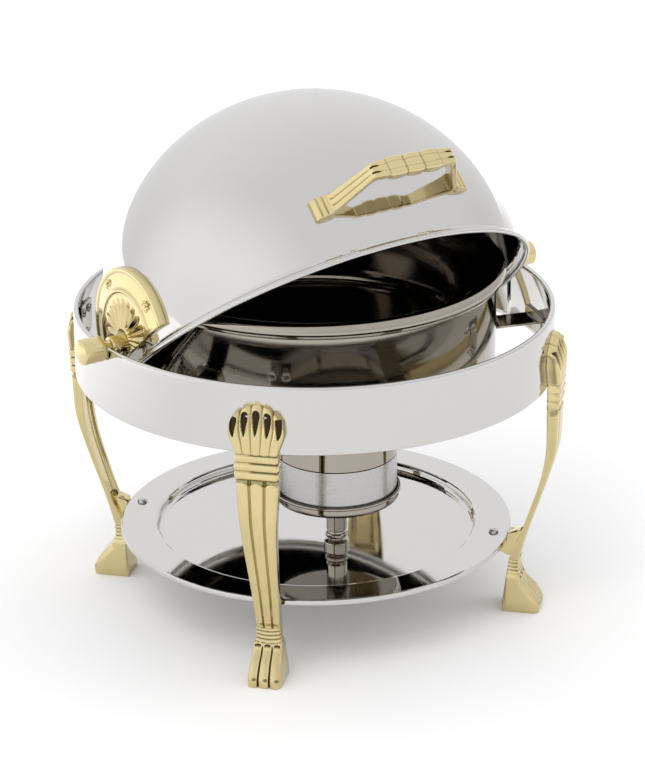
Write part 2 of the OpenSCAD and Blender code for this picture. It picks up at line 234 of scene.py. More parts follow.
@dataclass(frozen=True)
class Steel:
    """A stainless-steel finish; ring_pitch and ring_depth are the turning rings in metres."""

    name: str
    colour: str
    roughness: float
    smudge: float
    grain: Grain = Grain.BUFFED
    centre: Point = (0.0, 0.0)
    ring_pitch: float = 0.0004
    ring_depth: float = 0.0

    def build(self) -> bpy.types.Material:
        """Makes the material.

        Returns:
            A metal with hazy smudges, fine wipe marks and, when spun, turning rings.
        """
        s = Shader(self.name)
        place = s.add("TexCoord").outputs["Object"]
        # Haze in patches about 110 mm across; wipe marks about 1 mm by 30 mm, drawn
        # coarser than real ones so that they show.
        haze = s.ramp(s.noise(place, 9.0, 4.0, 0.6), 0.35, 0.7)
        wipe_place = s.add("Mapping", {"Vector": place, "Scale": (30.0, 30.0, 900.0),
                                       "Rotation": (0.25, 0.5, 0.1)}).outputs[0]
        wipe = s.ramp(s.noise(wipe_place, 1.0, 3.0, 0.65), 0.45, 0.75)
        marks = s.math("ADD", s.math("MULTIPLY", haze, 0.6), s.math("MULTIPLY", wipe, 0.4))
        rough = s.math("ADD", s.math("MULTIPLY", marks, self.smudge), self.roughness)
        tint = s.add("MixRGB", {0: s.math("MULTIPLY", marks, 0.25), 1: linear(self.colour),
                                2: tuple(0.93 * c for c in linear(self.colour)[:3]) + (1.0,)})
        inputs = {"Base Color": tint.outputs[0], "Metallic": 1.0, "Roughness": rough}
        # Buffing leaves a faint waviness about 4 mm across; spinning leaves rings instead.
        height, depth = s.noise(place, 260.0, 3.0), 0.000004
        if self.grain is Grain.SPUN:
            radius, angle = s.turned(self.centre)
            rise = s.add("SeparateXYZ", {0: place}).outputs[2]
            line = s.add("CombineXYZ", {0: s.math("MULTIPLY", radius, 1 / self.ring_pitch),
                                        1: s.math("MULTIPLY", angle, 1.6),
                                        2: s.math("MULTIPLY", rise, 1 / self.ring_pitch)})
            height, depth = s.noise(line.outputs[0], 1.0, 3.0, 0.7), self.ring_depth
            inputs["Roughness"] = s.math("ADD", rough, s.math(
                "MULTIPLY", s.math("SUBTRACT", height, 0.5), 0.25))
        bump = s.add("Bump", {"Height": height, "Distance": depth, "Strength": 1.0})
        inputs["Normal"] = bump.outputs[0]
        return s.finish(s.add("BsdfPrincipled", inputs))


@dataclass(frozen=True)
class Brass:
    """A polished, lacquered brass casting; a point attribute paints shade into its recesses and onto its shaded
    sides.
    """

    name: str
    colour: str
    shade_and_speck_colour: str
    roughness: float

    def build(self) -> bpy.types.Material:
        """Makes the material.

        Returns:
            A metal with casting waviness, toned patches, dark specks and painted shade in the recesses.
        """
        s = Shader(self.name)
        place = s.add("TexCoord").outputs["Object"]
        # Toned patches about 45 mm across, specks about 2 mm, casting waviness about 13 mm.
        tone = s.ramp(s.noise(place, 22.0, 3.0, 0.55), 0.35, 0.7)
        speck = s.ramp(s.noise(place, 420.0, 2.0, 0.6), 0.62, 0.75)
        base = s.add("MixRGB", {0: s.math("MULTIPLY", tone, 0.35), 1: linear(self.colour),
                                2: tuple(0.74 * c for c in linear(self.colour)[:3]) + (1.0,)})
        # Painted shade: the point attribute darkens recesses, grooves and shaded sides towards the dark brown
        # shade colour; the specks mixed in are real marks.
        painted_shade = s.add("Attribute", attribute_name="painted_shade").outputs["Fac"]
        dark = s.math("MINIMUM", s.math("ADD", painted_shade, s.math("MULTIPLY", speck, 0.12)), 1.0)
        tint = s.add("MixRGB", {0: dark, 1: base.outputs[0], 2: linear(self.shade_and_speck_colour)})
        rough = s.math("ADD", s.math("MULTIPLY", dark, 0.25),
                       s.math("ADD", s.math("MULTIPLY", tone, 0.06), self.roughness))
        bump = s.add("Bump", {"Height": s.noise(place, 75.0, 2.0), "Distance": 0.00008,
                              "Strength": 0.6})
        return s.finish(s.add("BsdfPrincipled", {
            "Base Color": tint.outputs[0], "Metallic": 1.0, "Roughness": rough,
            "Normal": bump.outputs[0], "Coat Weight": 0.25, "Coat Roughness": 0.04}))


# ---- meshes ------------------------------------------------------------------------------------


def curve(points: Sequence[Point], steps: int = 12) -> np.ndarray:
    """A Catmull-Rom curve through control points.

    Args:
        points: Control points in order.
        steps: Samples between each pair of control points.

    Returns:
        The sampled points, one row each.
    """
    p = np.asarray(points, float)
    t = np.linspace(0, 1, steps, endpoint=False)[:, None]
    runs = []
    for i in range(len(p) - 1):
        a, b, c, d = p[max(i - 1, 0)], p[i], p[i + 1], p[min(i + 2, len(p) - 1)]
        runs.append((2 * b + (c - a) * t + (2 * a - 5 * b + 4 * c - d) * t ** 2
                     + (3 * b - a - 3 * c + d) * t ** 3) / 2)
    return np.vstack(runs + [p[-1:]])


def along(points: Sequence[Point], at: np.ndarray) -> np.ndarray:
    """Reads a smoothed outline.

    Args:
        points: Outline as (value, height) pairs.
        at: Heights to read at.

    Returns:
        The outline's value at each height.
    """
    line = curve(points)
    order = np.argsort(line[:, 1])
    return np.interp(at, line[order, 1], line[order, 0])


def step(x: np.ndarray, low: float, high: float) -> np.ndarray:
    """Smooth rise from 0 at low to 1 at high (low may be above high for a fall)."""
    t = np.clip((x - low) / (high - low), 0, 1)
    return t * t * (3 - 2 * t)


def notch(x: np.ndarray, centre: float, half: float) -> np.ndarray:
    """A rounded V: 1 on the centre line, 0 beyond half."""
    return np.clip(1 - np.abs(x - centre) / half, 0, 1) ** 1.3


def skin(name: str, grid: np.ndarray, painted_shade: Optional[np.ndarray] = None,
         place: Matrix = Matrix.Identity(4), wrap: bool = True,
         extra: Sequence[tuple[np.ndarray, list]] = ()) -> bpy.types.Object:
    """Makes one closed mesh object from a grid of points.

    Args:
        name: Name of the object.
        grid: Points in millimetres, rows x columns x 3; columns close into loops when wrap.
        painted_shade: Painted shade of each grid point, 0..1.
        place: Where the drawn shape goes in the frame (metres).
        wrap: Whether the last column joins the first.
        extra: Further closed shells as (points in mm, faces).

    Returns:
        The linked object, at the origin with its place applied to the points.
    """
    rows, cols = grid.shape[:2]
    index = np.arange(rows * cols).reshape(rows, cols)
    after = np.roll(index, -1, axis=1) if wrap else index[:, 1:]
    here = index if wrap else index[:, :-1]
    quads = np.stack([here[:-1], after[:-1], after[1:], here[1:]], -1).reshape(-1, 4)
    points = grid.reshape(-1, 3)
    faces = quads.tolist()
    if wrap:
        faces += [index[0, ::-1].tolist(), index[-1].tolist()]
    dark = np.zeros(len(points)) if painted_shade is None else np.clip(painted_shade, 0, 1).reshape(-1)
    for more, polygons in extra:
        faces += [[i + len(points) for i in f] for f in polygons]
        points = np.vstack([points, more])
        dark = np.append(dark, np.zeros(len(more)))
    turn = np.array(place)
    points = points * MM @ turn[:3, :3].T + turn[:3, 3]
    mesh = bpy.data.meshes.new(name)
    mesh.from_pydata(points.tolist(), [], faces)
    # The painted shade goes on each point as an attribute that the brass material reads.
    mesh.attributes.new("painted_shade", "FLOAT", "POINT").data.foreach_set("value", dark)
    sketch = bmesh.new()
    sketch.from_mesh(mesh)
    bmesh.ops.remove_doubles(sketch, verts=sketch.verts, dist=2e-6)
    bmesh.ops.recalc_face_normals(sketch, faces=sketch.faces)
    for face in sketch.faces:
        face.smooth = len(face.verts) < 5
    sketch.to_mesh(mesh)
    sketch.free()
    thing = bpy.data.objects.new(name, mesh)
    bpy.context.scene.collection.objects.link(thing)
    return thing


def hand_over(thing: bpy.types.Object, body: Body, slot: Slot, *nodes: str) -> bpy.types.Object:
    """Finishes a piece.

    Args:
        thing: The piece's mesh object.
        body: Body it rides on.
        slot: Slot whose material it takes.
        *nodes: CAD nodes it stands for.

    Returns:
        The same object.
    """
    thing.data.materials.clear()
    thing.data.materials.append(MADE[slot.value])
    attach(thing, body.value)
    if nodes:
        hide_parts(*nodes)
    LOG.info("%s: %d faces", thing.name, len(thing.data.polygons))
    return thing


def darkest(*layers: np.ndarray) -> np.ndarray:
    """The largest of several arrays, point by point."""
    return np.max(np.broadcast_arrays(*layers), axis=0)


def section(front: np.ndarray, back: np.ndarray, thin: int, wall: int = 5) -> np.ndarray:
    """Closes a front line and a back line into loops, for any coordinate.

    Args:
        front: Values over the front face, rows x columns.
        back: Values over the back face, rows x columns.
        thin: Only every thin-th column is kept at the back.
        wall: Points on each side wall.

    Returns:
        Rows of loops: front, right wall, back reversed, left wall.
    """
    t = np.linspace(0, 1, wall + 2)[1:-1]
    right = front[:, -1:] * (1 - t) + back[:, -1:] * t
    left = back[:, :1] * (1 - t) + front[:, :1] * t
    return np.hstack([front, right, back[:, ::-1][:, ::thin], left])


# ---- legs --------------------------------------------------------------------------------------


@dataclass(frozen=True)
class Leg:
    """One cast leg: a five-lobed fan, three bands, a ribbed shaft, ankle bands and a claw."""

    name: str
    angle: float
    fan_low: float = 240.0
    band_low: float = 215.0
    ankle: tuple[float, float] = (38.0, 53.0)
    columns: int = 131
    pitch: float = 0.62
    top: float = 288.0
    lobe: float = 0.4
    rib: float = 0.7
    toe: float = 0.667
    wall_gap: float = 0.12
    back_thin: int = 5

    FACE = ((231, 288), (237, 279), (241, 264), (241.5, 245), (240.5, 228), (239.5, 200),
            (238, 172), (231.5, 146), (222, 116), (211.5, 84), (204.5, 58), (202.5, 44),
            (206.5, 32), (217, 21), (224, 9), (223.5, 0))
    BACK = ((188, 0), (188, 10), (190, 28), (191.5, 42), (194.5, 58), (204, 82), (214, 112),
            (223, 142), (228, 172), (228.4, 200), (228.6, 228), (228.8, 264), (229, 288))
    SIDE = ((16, 0), (16, 8), (14.8, 22), (13.8, 34), (12, 42), (11.8, 52), (12.2, 64),
            (14.4, 110), (17, 160), (19.6, 206), (20.8, 226), (20, 238), (22.5, 252),
            (25.8, 266), (26.2, 275), (25.2, 284), (24.5, 288))
    LUG = ((169, 74.7), (188, 74.7), (188, 70.4), (191, 70.4), (191, 78.9), (207, 83.9),
           (202, 58), (191, 56), (172, 65))

    @staticmethod
    def banded(z: np.ndarray, low: float, high: float, count: int) -> np.ndarray:
        """Position inside each of count equal bands between two heights, -1..1."""
        return 2 * ((z - low) / ((high - low) / count) % 1) - 1

    def lobes(self, u: np.ndarray) -> Pair:
        """Centre line of the fan's nearest lobe, and the position across it, -1..1."""
        centre = np.clip(np.round(u / self.lobe), -2, 2) * self.lobe
        return centre, (u - centre) / (self.lobe / 2)

    def fan(self, z: np.ndarray, u: np.ndarray) -> Pair:
        """Shapes the fan's lobes and their scoops.

        Args:
            z: Height of each point.
            u: Position of each point across the face, -1..1.

        Returns:
            How deep each point lies under the face, and its painted shade.
        """
        lobe, w = self.lobes(u)
        rise = np.clip((z - self.fan_low) / 30, 0, 1)
        ridge = (1.3 + 1.4 * rise) * np.abs(w) ** 2.2
        low, high = 258.5 - 3 * np.abs(lobe), 281.5 - 10 * lobe ** 2
        t = np.clip((z - low) / (high - low), 0, 1)
        half = 0.86 * t ** 0.65 * (1 - t ** 9) ** 0.5
        lean = w - 0.16 * np.sign(lobe) * (1 - t)
        scoop = step(np.abs(lean), half + 0.03, np.maximum(half - 0.10, 0)) * (half > 0.06)
        relief = ridge + 3.2 * scoop + 1.2 * u ** 2
        seam = step(np.abs(w), 0.8, 1.0) * step(z, self.fan_low, self.fan_low + 3)
        root = 0.5 * step(z, self.fan_low + 2.2, self.fan_low)
        # Painted shade: the scoops go near black, and the seams between lobes and the root under the fan go
        # darker.
        return relief + 1.2 * root, darkest(scoop, 0.6 * seam, root)

    def bands(self, z: np.ndarray, u: np.ndarray) -> Pair:
        """Shapes the three bands under the fan.

        Args:
            z: Height of each point.
            u: Position of each point across the face, -1..1.

        Returns:
            How deep each point lies under the face, and its patina.
        """
        w = self.banded(z, self.band_low, self.fan_low, 3)
        # Painted shade: the grooves between bands darken, far more on the right side than on the lit left.
        tone = step(np.abs(w), 0.66, 0.95) * (0.25 + 0.65 * step(u, -0.4, -0.15))
        return 0.2 + 2.2 * np.abs(w) ** 2.3, tone

    def shaft(self, z: np.ndarray, u: np.ndarray) -> Pair:
        """Shapes the three ribs, which start as small arches.

        Args:
            z: Height of each point.
            u: Position of each point across the face, -1..1.

        Returns:
            How deep each point lies under the face, and its painted shade.
        """
        rib = np.clip(np.round(u / self.rib), -1, 1)
        w = np.where(rib == 0, u / 0.35, (u - 0.68 * rib) / 0.32)
        groove = notch(np.abs(u), self.rib / 2, 0.1)
        arch = step(z, self.band_low - 3.2 - 3.5 * w ** 2, self.band_low - 2.2 - 3.5 * w ** 2)
        relief = 0.5 + 1.2 * np.abs(w) ** 2.2 + 1.8 * groove
        relief = relief + 0.35 * (rib != 0) + 2.0 * arch * (z > self.band_low - 12)
        foot = step(z, self.ankle[1] + 5, self.ankle[1])
        # Painted shade in the grooves beside the ribs, along the rib edges and under the small arches.
        return relief + 0.8 * foot, darkest(0.3 * groove, 0.1 * w ** 4, 0.5 * arch)

    def claw(self, z: np.ndarray, u: np.ndarray) -> Pair:
        """Shapes the three toes.

        Args:
            z: Height of each point.
            u: Position of each point across the face, -1..1.

        Returns:
            How deep each point lies under the face, and its painted shade.
        """
        toe = np.clip(np.round(u / self.toe), -1, 1)
        w = (u - self.toe * toe) / 0.333
        fade = step(z, 36, 30)
        groove = notch(np.abs(u), 0.333, 0.07) * fade
        tray = step(np.abs(w), 0.8, 0.5) * step(z, 5, 12) * step(z, 35, 30)
        arc = step(np.abs(z - 34.6 + 1.5 * w ** 2), 1.5, 0.7) * step(np.abs(w), 0.7, 0.5)
        tip = step(np.hypot((z - 8.2) / 1.6, (w - 0.35) / 0.4), 1.15, 0.75)
        crown = 1.5 * np.abs(w) ** 2.2 * step(z, 36, 26)
        # Painted shade in the gaps between toes, under the arc over them, in the hollow of each toe and in the
        # holes at the tips.
        return (0.3 + 3.0 * groove + 0.5 * tray + 1.3 * arc + crown + 0.4 * tip,
                darkest(0.9 * groove ** 0.8, 0.95 * arc, 0.14 * tray, 0.75 * tip))

    def pinch(self, level: np.ndarray, ankle: np.ndarray) -> np.ndarray:
        """Narrows the sides between neighbouring bands.

        Args:
            level: Height of each row.
            ankle: Position of each row inside its ankle band, -1..1.

        Returns:
            How much narrower each row is.
        """
        upper = (level >= self.band_low) & (level < self.fan_low)
        lower = (level >= self.ankle[0]) & (level < self.ankle[1])
        w = self.banded(level, self.band_low, self.fan_low, 3)
        return 0.7 * (upper * np.abs(w) ** 4 + lower * np.abs(ankle) ** 3)

    def surface(self) -> Pair:
        """The whole casting.

        Returns:
            Grid of points (leg pointing along -Y, millimetres) and their painted shade.
        """
        spread = math.pi / 2 * 0.86  # columns crowd towards the sides, where the relief is steepest
        u = np.sin(np.linspace(-1, 1, self.columns) * spread) / math.sin(spread)
        level = np.append(np.arange(0, self.top, self.pitch), self.top)
        z = np.repeat(level[:, None], self.columns, 1)
        _, lobe = self.lobes(u)
        top = self.top - 0.2 - 15 * np.minimum(np.abs(u), 0.95) ** 2 - 3.0 * np.abs(lobe) ** 4
        share = np.clip((level - self.fan_low) / (self.top - self.fan_low), 0, 1)[:, None]
        fan_z = self.fan_low + share * (top - self.fan_low)
        z = np.where(level[:, None] > self.fan_low, fan_z, z)
        face, back = along(self.FACE, z), along(self.BACK, z)
        half = np.repeat(along(self.SIDE, level)[:, None], self.columns, 1)
        sag = z + 1.8 * (1 - u ** 2)
        zones = ((self.fan(z, u), z >= self.fan_low),
                 (self.bands(z, u), (z < self.fan_low) & (z >= self.band_low)),
                 (self.shaft(z, u), (z < self.band_low) & (sag >= self.ankle[1])),
                 (self.claw(z, u), sag < self.ankle[0]))
        w = self.banded(sag, self.ankle[0], self.ankle[1], 4)
        # Painted shade in the grooves between the ankle bands.
        relief, dark = 0.2 + 1.8 * np.abs(w) ** 2.6, 0.85 * step(np.abs(w), 0.6, 0.95)
        for (deep, tone), where in zones:
            relief, dark = np.where(where, deep, relief), np.where(where, tone, dark)
        corner = 3.0 * np.clip((np.abs(u) - 0.88) / 0.12, 0, 1) ** 2.4
        corner = corner + 2.6 * np.clip((np.abs(u) - 0.82) / 0.18, 0, 1) ** 1.2 * step(z, 36, 28)
        front = face - relief - corner
        crest = step(z, top - 3.6, top)
        x = half * u
        wall = np.sqrt(np.maximum(AT.ring_r + self.wall_gap, np.abs(x)) ** 2 - x ** 2)
        rear = np.where(z > AT.ring_low - 1.5, wall, np.minimum(back, wall))
        hollow = step(np.abs(u), 0.78, 0.62) * step(z, 66, 80) * step(z, 204, 190)
        rear = rear + 3.2 * hollow * (z < AT.ring_low - 1.5)
        front = np.maximum(front * (1 - crest ** 2) + rear * crest ** 2, rear)
        front[-1] = rear[-1]
        across = (half - self.pinch(level, w[:, 0])[:, None]) * u
        thin = self.back_thin
        grid = [section(a, b, thin) for a, b in ((across, across), (-front, -rear), (z, z))]
        return np.stack(grid, -1), section(dark, np.zeros_like(dark), thin)

    def lug(self) -> tuple[np.ndarray, list]:
        """The inward boss that carries the tray, as a bevelled prism.

        Returns:
            Its points in millimetres and its faces.
        """
        outline = np.array(self.LUG)
        middle = outline.mean(0)
        rings = []
        for x, shrink in ((-7.5, 0.8), (-6.9, 0), (6.9, 0), (7.5, 0.8)):
            pull = middle - outline
            inset = outline + shrink * pull / np.linalg.norm(pull, axis=1)[:, None]
            rings.append(np.column_stack([np.full(len(inset), x), -inset[:, 0], inset[:, 1]]))
        n = len(outline)
        faces = [[r * n + i, r * n + (i + 1) % n, (r + 1) * n + (i + 1) % n, (r + 1) * n + i]
                 for r in range(3) for i in range(n)]
        return np.vstack(rings), faces + [list(range(n))[::-1], list(range(3 * n, 4 * n))]

    def build(self) -> bpy.types.Object:
        """Builds the leg on the ring.

        Returns:
            The finished casting.
        """
        grid, tone = self.surface()
        turn = Matrix.Rotation(math.radians(self.angle), 4, "Z")
        thing = skin(self.name + "_casting", grid, tone, turn, extra=[self.lug()])
        return hand_over(thing, Body.ROOT, Slot.BRASS, self.name)


# ---- cover furniture ---------------------------------------------------------------------------


@dataclass(frozen=True)
class Medallion:
    """Half-round cast medallion: border, band with rosettes, an arc and a fan of flutes."""

    side: int
    radius: float = 65.0
    up: float = 4.5
    cut: float = -10.0
    flutes: int = 13
    flute_end: float = 40.0
    rows: int = 170
    columns: int = 420
    rosette_r: float = 53.0
    rosette_at: tuple[float, float, float] = (90.0, 10.0, 170.0)

    PROFILE = ((0, 206.5), (9.9, 206.5), (10.4, 206.3), (12, 206.0), (41.6, 202.2), (42.4, 202.6),
               (43, 203.4), (43.6, 203.6), (44.4, 203.6), (45, 203.4), (45.8, 202.6), (46.6, 202.2),
               (59.4, 199.35), (60.4, 199.15), (61, 199.5), (61.8, 199.95), (62.8, 200),
               (63.8, 199.95), (64.6, 199.6), (65, 199))

    @property
    def nodes(self) -> str:
        """The CAD node this medallion stands for."""
        return "medallion_right" if self.side > 0 else "medallion_left"

    def face(self, radius: np.ndarray, angle: np.ndarray) -> Pair:
        """Shapes the front face.

        Args:
            radius: Distance of each point from the middle.
            angle: Direction of each point, radians.

        Returns:
            Height of each point and its painted shade.
        """
        profile = np.array(self.PROFILE)
        height = np.interp(radius, profile[:, 0], profile[:, 1])
        low = math.asin((self.cut - self.up) / 48)
        pitch = (math.pi - 2 * low) / self.flutes
        w = 2 * (((angle - low) / pitch) % 1) - 1
        end = self.flute_end - 4.0 * w ** 2
        inside = step(radius, 9.8, 12.5) * step(radius, end, end - 11)
        trough = inside * (0.6 + 0.4 * step(radius, 10, 26)) * np.clip(1 - np.abs(w), 0, 1) ** 0.75
        rim = notch(radius, 41.2, 1.2) + notch(radius, 47, 1.2) + notch(radius, 60.2, 1.0)
        # Painted shade in the flutes and in the grooves of the rims.
        tone = np.maximum(0.3 * trough ** 2, 0.3 * np.clip(rim, 0, 1))
        return height - 3.2 * trough, tone

    def build(self) -> bpy.types.Object:
        """Builds the casting and its rosettes as one piece.

        Returns:
            The medallion on the cover.
        """
        drop = self.cut - self.up
        corner = math.asin(drop / self.radius)
        turn = [corner, math.pi - corner, 2 * math.pi + corner]
        upper = np.linspace(turn[0], turn[1], int(self.columns * 0.78), endpoint=False)
        lower = np.linspace(turn[1], turn[2], self.columns - len(upper), endpoint=False)
        angle = np.append(upper, lower)
        reach = np.where(np.arange(self.columns) < len(upper), self.radius,
                         drop / np.minimum(np.sin(angle), -1e-6))
        share = np.linspace(0, 1, self.rows) ** 0.9
        radius = np.minimum(share[:, None] * reach, self.radius)
        height, tone = self.face(radius, angle[None, :])
        y, z = -radius * np.cos(angle), radius * np.sin(angle) + self.up
        ball = np.sqrt(AT.dome_r ** 2 - y[-1] ** 2 - z[-1] ** 2)
        wall = np.linspace(0, 1, 9)[1:, None]
        side_x = height[-1] * (1 - wall) + (ball - 0.02) * wall
        side_y, side_z = (np.broadcast_to(line, side_x.shape) for line in (y[-1], z[-1]))
        inner = np.linspace(1, 0.0, 10)[1:, None]
        in_y, in_z = inner * y[-1], inner * (z[-1] - self.up) + self.up
        in_x = np.sqrt(AT.dome_r ** 2 - in_y ** 2 - in_z ** 2) + 0.02
        x = np.vstack([height, side_x, in_x])
        grid = np.stack([self.side * x, np.vstack([y, side_y, in_y]),
                         np.vstack([z, side_z, in_z])], -1)
        # Painted shade on the side wall, darkest where it meets the dome; none on the hidden inner part.
        dark = np.vstack([tone, 0.15 * wall ** 3 * np.ones_like(side_x), np.zeros_like(in_x)])
        place = cover_matrix()
        thing = skin(self.nodes + "_casting", grid, dark, place)
        flowers = self.rosettes(place)
        both = [thing, flowers]
        with bpy.context.temp_override(active_object=thing, selected_editable_objects=both):
            bpy.ops.object.join()
        return hand_over(thing, Body.COVER, Slot.BRASS, self.nodes)

    def rosettes(self, place: Matrix) -> bpy.types.Object:
        """Three small flowers on the band, grown by a node group from three points.

        Args:
            place: Where the medallion goes in the frame.

        Returns:
            The flowers as one object.
        """
        spots = []
        for angle in self.rosette_at:
            a = math.radians(angle)
            spots.append((self.side * 200.7 * MM, -self.rosette_r * math.cos(a) * MM,
                          (self.rosette_r * math.sin(a) + self.up) * MM))
        lean = Matrix.Rotation(self.side * math.radians(90), 4, "Y")
        turn = {"Turn": lean.to_euler()}
        return grow(f"{self.nodes}_rosettes", spots, Rosette().tree(), turn, place)


@dataclass(frozen=True)
class Rosette:
    """A node group: a flower of beads round a centre bead on every point it is given."""

    petals: int = 8
    radius: float = 4.3
    bead: float = 1.7
    centre: float = 1.6

    def tree(self) -> bpy.types.NodeTree:
        """Builds the node group once.

        Returns:
            The group, with the flower's sizes, turn and material as inputs.
        """
        if "rosette" in bpy.data.node_groups:
            return bpy.data.node_groups["rosette"]
        g = Growth("rosette", (("Petals", "NodeSocketInt", self.petals),
                               ("Radius", "NodeSocketFloat", self.radius * MM),
                               ("Bead", "NodeSocketFloat", self.bead * MM),
                               ("Centre", "NodeSocketFloat", self.centre * MM),
                               ("Turn", "NodeSocketRotation", None),
                               ("Material", "NodeSocketMaterial", None)))
        ring = g.add("MeshCircle", {"Vertices": g.given["Petals"], "Radius": g.given["Radius"]})
        ball = g.add("MeshUVSphere", {"Segments": 14, "Rings": 9, "Radius": g.given["Bead"]})
        ring_beads = g.add("InstanceOnPoints", {"Points": ring.outputs[0],
                                                "Instance": ball.outputs[0]})
        heart = g.add("MeshUVSphere", {"Segments": 18, "Rings": 11, "Radius": g.given["Centre"]})
        flower = g.add("JoinGeometry", {0: [ring_beads.outputs[0], heart.outputs[0]]})
        flat = g.add("Transform", {"Geometry": flower.outputs[0], "Scale": (1.0, 1.0, 0.75)})
        placed = g.add("InstanceOnPoints", {"Points": g.geometry, "Instance": flat.outputs[0],
                                            "Rotation": g.given["Turn"]})
        return g.close(placed.outputs[0])


class Growth:
    """A Geometry Nodes tree under construction, with named inputs."""

    def __init__(self, name: str, inputs: Sequence[tuple[str, str, object]]) -> None:
        """Starts a node group that takes and gives one geometry.

        Args:
            name: Name of the group.
            inputs: Label, socket type and starting value of each further input.
        """
        self.group = bpy.data.node_groups.new(name, "GeometryNodeTree")
        face = self.group.interface
        face.new_socket("Geometry", in_out="INPUT", socket_type="NodeSocketGeometry")
        face.new_socket("Geometry", in_out="OUTPUT", socket_type="NodeSocketGeometry")
        for label, kind, value in inputs:
            socket = face.new_socket(label, in_out="INPUT", socket_type=kind)
            if value is not None:
                socket.default_value = value
        source = self.group.nodes.new("NodeGroupInput")
        self.geometry = source.outputs["Geometry"]
        self.given = {label: source.outputs[label] for label, _, _ in inputs}

    def add(self, kind: str, inputs: Optional[dict] = None, **settings) -> bpy.types.Node:
        """Adds a node.

        Args:
            kind: Node type name after its geometry, function or shader prefix.
            inputs: Socket name or index to a constant, a socket, or a list of sockets.
            **settings: Attributes of the node.

        Returns:
            The new node.
        """
        names = (f"GeometryNode{kind}", f"FunctionNode{kind}", f"ShaderNode{kind}")
        node = self.group.nodes.new(next(n for n in names if hasattr(bpy.types, n)))
        for key, value in settings.items():
            setattr(node, key, value)
        for key, value in (inputs or {}).items():
            for item in value if isinstance(value, list) else [value]:
                if isinstance(item, bpy.types.NodeSocket):
                    self.group.links.new(item, node.inputs[key])
                else:
                    node.inputs[key].default_value = item
        return node

    def close(self, result: bpy.types.NodeSocket) -> bpy.types.NodeTree:
        """Ends the tree in realised, shaded-smooth, painted geometry.

        Args:
            result: The geometry to keep.

        Returns:
            The finished node group.
        """
        real = self.add("RealizeInstances", {0: result})
        smooth = self.add("SetShadeSmooth", {"Geometry": real.outputs[0]})
        paint = self.add("SetMaterial", {"Geometry": smooth.outputs[0],
                                         "Material": self.given["Material"]})
        out = self.group.nodes.new("NodeGroupOutput")
        self.group.links.new(paint.outputs[0], out.inputs["Geometry"])
        return self.group


def grow(name: str, points: Sequence[tuple], group: bpy.types.NodeTree, values: dict,
         place: Matrix = Matrix.Identity(4), slot: Slot = Slot.BRASS) -> bpy.types.Object:
    """Runs a node group over points and keeps the result as a plain mesh.

    Args:
        name: Name of the new object.
        points: Positions in metres before place.
        group: Node group with a Material input.
        values: Other named inputs.
        place: Transform applied to the finished mesh.
        slot: Slot whose material is painted on.

    Returns:
        The object, without its modifier.
    """
    seed = bpy.data.meshes.new(name + "_points")
    seed.from_pydata(list(points), [], [])
    source = bpy.data.objects.new(name, seed)
    bpy.context.scene.collection.objects.link(source)
    run = source.modifiers.new("grow", "NODES")
    run.node_group = group
    for item in group.interface.items_tree:
        if item.item_type == "SOCKET" and item.in_out == "INPUT":
            if item.name == "Material":
                run[item.identifier] = MADE[slot.value]
            elif item.name in values:
                run[item.identifier] = values[item.name]
    ready = bpy.context.evaluated_depsgraph_get()
    mesh = bpy.data.meshes.new_from_object(source.evaluated_get(ready))
    source.modifiers.remove(run)
    source.data = mesh
    mesh.transform(place)
    return source


